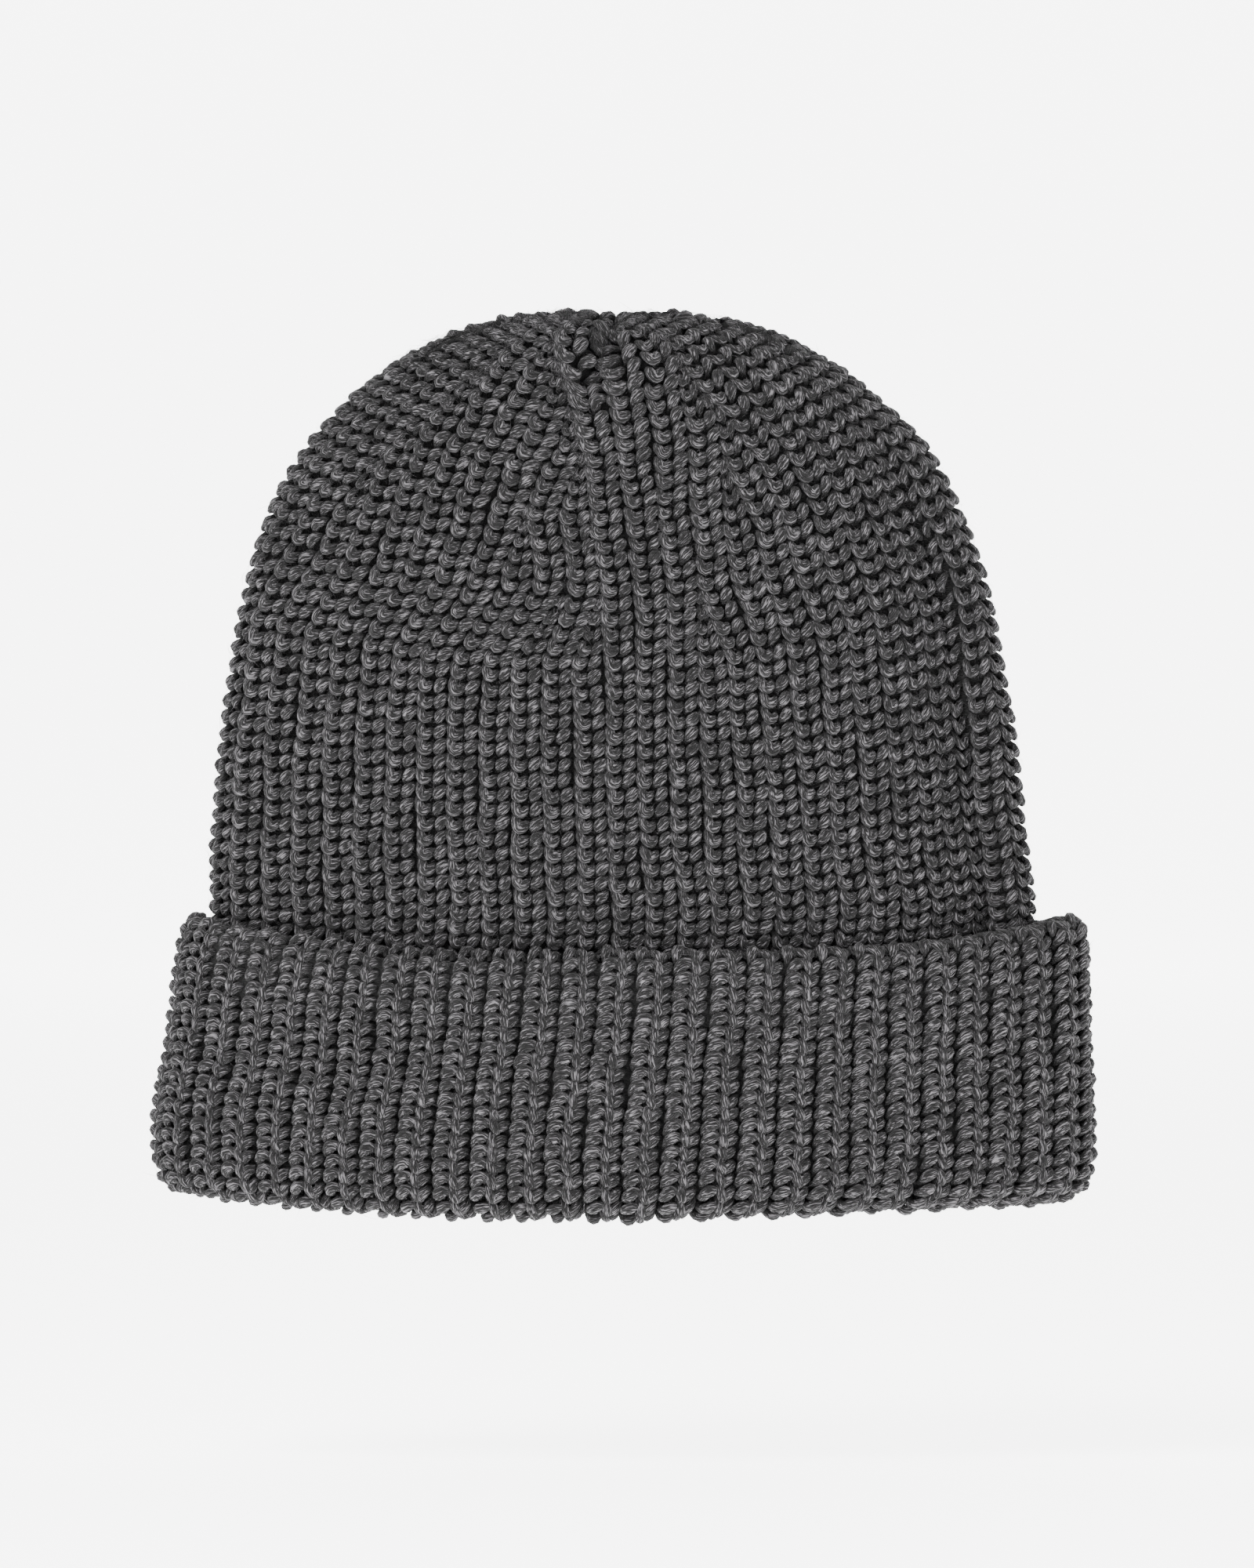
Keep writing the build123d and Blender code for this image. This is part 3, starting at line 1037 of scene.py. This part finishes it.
# ------------------------------------------------------- loose surface fibres
def fuzz(name, grid, ribs, r0, r1, count, body, mat):
    k = rng.integers(0, COLS, count)
    row = rng.uniform(r0, r1, count)
    s0 = rng.uniform(-0.36, 0.34, count)
    c, wd = ribs(k, row)
    pos, nn = grid.at(row, c + s0 * wd)
    side = normalise(grid.at(row, c + s0 * wd + 0.002)[0] - pos)
    up = np.cross(nn, side)
    ang = rng.uniform(0, 2 * math.pi, count)
    flat = side * np.cos(ang)[:, None] + up * np.sin(ang)[:, None]
    length = rng.gamma(3.0, 0.6, count)[:, None]
    lift = rng.uniform(0.02, 0.5, count)[:, None]
    bend = rng.normal(0, 0.35, (count, 3))
    root = pos + nn * rng.uniform(1.0, 2.2, count)[:, None]
    line = []
    for t in (0.0, 0.5, 1.0):
        line.append(root + flat * length * t + nn * length * lift * t * (1 - 0.35 * t) + bend * t * t)
    line = np.stack(line, 1)
    rad = rng.uniform(0.020, 0.036, count)[:, None] * np.array([[1.0, 0.9, 0.45]])
    bag = Bag()
    nr = np.repeat(nn[:, None], 3, 1)
    bag.add(sweep(line, nr + 1e-3, rad, rad, 3), tone=rng.normal(12, 8, count))
    return finish_piece(bag.mesh(name), mat, body)


fuzz("hat_fuzz", hat, rib_u, -1, 43.5, 15000, "hat", m_rib)
fuzz("cuff_fuzz", cuff, cuff_u, -2, 20, 11000, "cuff", m_cuff)

# -------------------------------------------------------------- camera, light
scene = bpy.context.scene


def emitter(name, loc, size, power, target=(0, 0, 0.11)):
    li = bpy.data.lights.new(name, "AREA")
    li.shape = "RECTANGLE"
    li.size, li.size_y = size
    li.energy = power
    ob = bpy.data.objects.new(name, li)
    ob.location = loc
    d = np.array(target) - np.array(loc)
    from mathutils import Vector

    ob.rotation_euler = Vector(d).to_track_quat("-Z", "Y").to_euler()
    scene.collection.objects.link(ob)
    return ob


lights = [
    emitter("key", (-0.8, -1.3, 1.6), (1.0, 1.0), 88),
    emitter("fill", (1.3, -1.4, 0.7), (1.2, 1.2), 14),
    emitter("top", (0.0, 0.1, 1.9), (1.4, 1.4), 20),
]
world = bpy.data.worlds.new("studio")
scene.world = world
world.use_nodes = True
world.node_tree.nodes["Background"].inputs[0].default_value = (1, 1, 1, 1)
world.node_tree.nodes["Background"].inputs[1].default_value = 0.35

# a pale round floor that curves up at its far rim, higher behind the hat
floor_m = bpy.data.materials.new("floor_paper")
floor_m.use_nodes = True
fb = floor_m.node_tree.nodes["Principled BSDF"]
fb.inputs["Base Color"].default_value = (0.92, 0.92, 0.92, 1)
fb.inputs["Roughness"].default_value = 0.9
fb.inputs["Emission Color"].default_value = (1, 1, 1, 1)
fb.inputs["Emission Strength"].default_value = 3.7
prof = [(0.0, 0.0), (1.5, 0.0), (3.5, 0.0), (6.0, 0.0)]
for k in range(1, 13):
    a = k / 12 * math.pi / 2
    prof.append((6.0 + 1.5 * math.sin(a), 1.5 * (1 - math.cos(a))))
N_TURN = 96
fv, ff = [(0.0, 0.0, 0.0)], []
for r, z in prof[1:] + [(7.5, None)]:
    for k in range(N_TURN):
        a = 2 * math.pi * k / N_TURN
        back = min(max(math.sin(a) * 1.6, 0.0), 1.0)
        fv.append((r * math.cos(a), r * math.sin(a), 1.5 + 7.5 * back * back * (3 - 2 * back) if z is None else z))
for k in range(N_TURN):
    ff.append((0, 1 + k, 1 + (k + 1) % N_TURN))
    for i in range(len(prof) - 1):
        a, b = 1 + i * N_TURN, 1 + (i + 1) * N_TURN
        q = (k + 1) % N_TURN
        ff.append((a + k, b + k, b + q, a + q))
fm = bpy.data.meshes.new("floor")
fm.from_pydata(fv, [], ff)
for p in fm.polygons:
    p.use_smooth = True
floor = bpy.data.objects.new("floor", fm)
# low enough for the cuff when it is turned all the way down
floor.location = (0, 0, -0.058)
floor.data.materials.append(floor_m)
scene.collection.objects.link(floor)
floor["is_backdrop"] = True

cam = bpy.data.cameras.new("camera")
cam.sensor_fit = "HORIZONTAL"
cam.sensor_width = 28.8
cam.lens = 220
cam.clip_end = 50
cam_ob = bpy.data.objects.new("camera", cam)
dist = 0.3040 * 220 / 28.8
cam_ob.location = (0.0008, -dist, 0.1062)
cam_ob.rotation_euler = (math.pi / 2, 0, 0)
scene.collection.objects.link(cam_ob)
scene.camera = cam_ob

lo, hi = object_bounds()
{"cad": [list(map(float, v)) for v in cad_box], "visual": [list(map(float, lo)), list(map(float, hi))]}
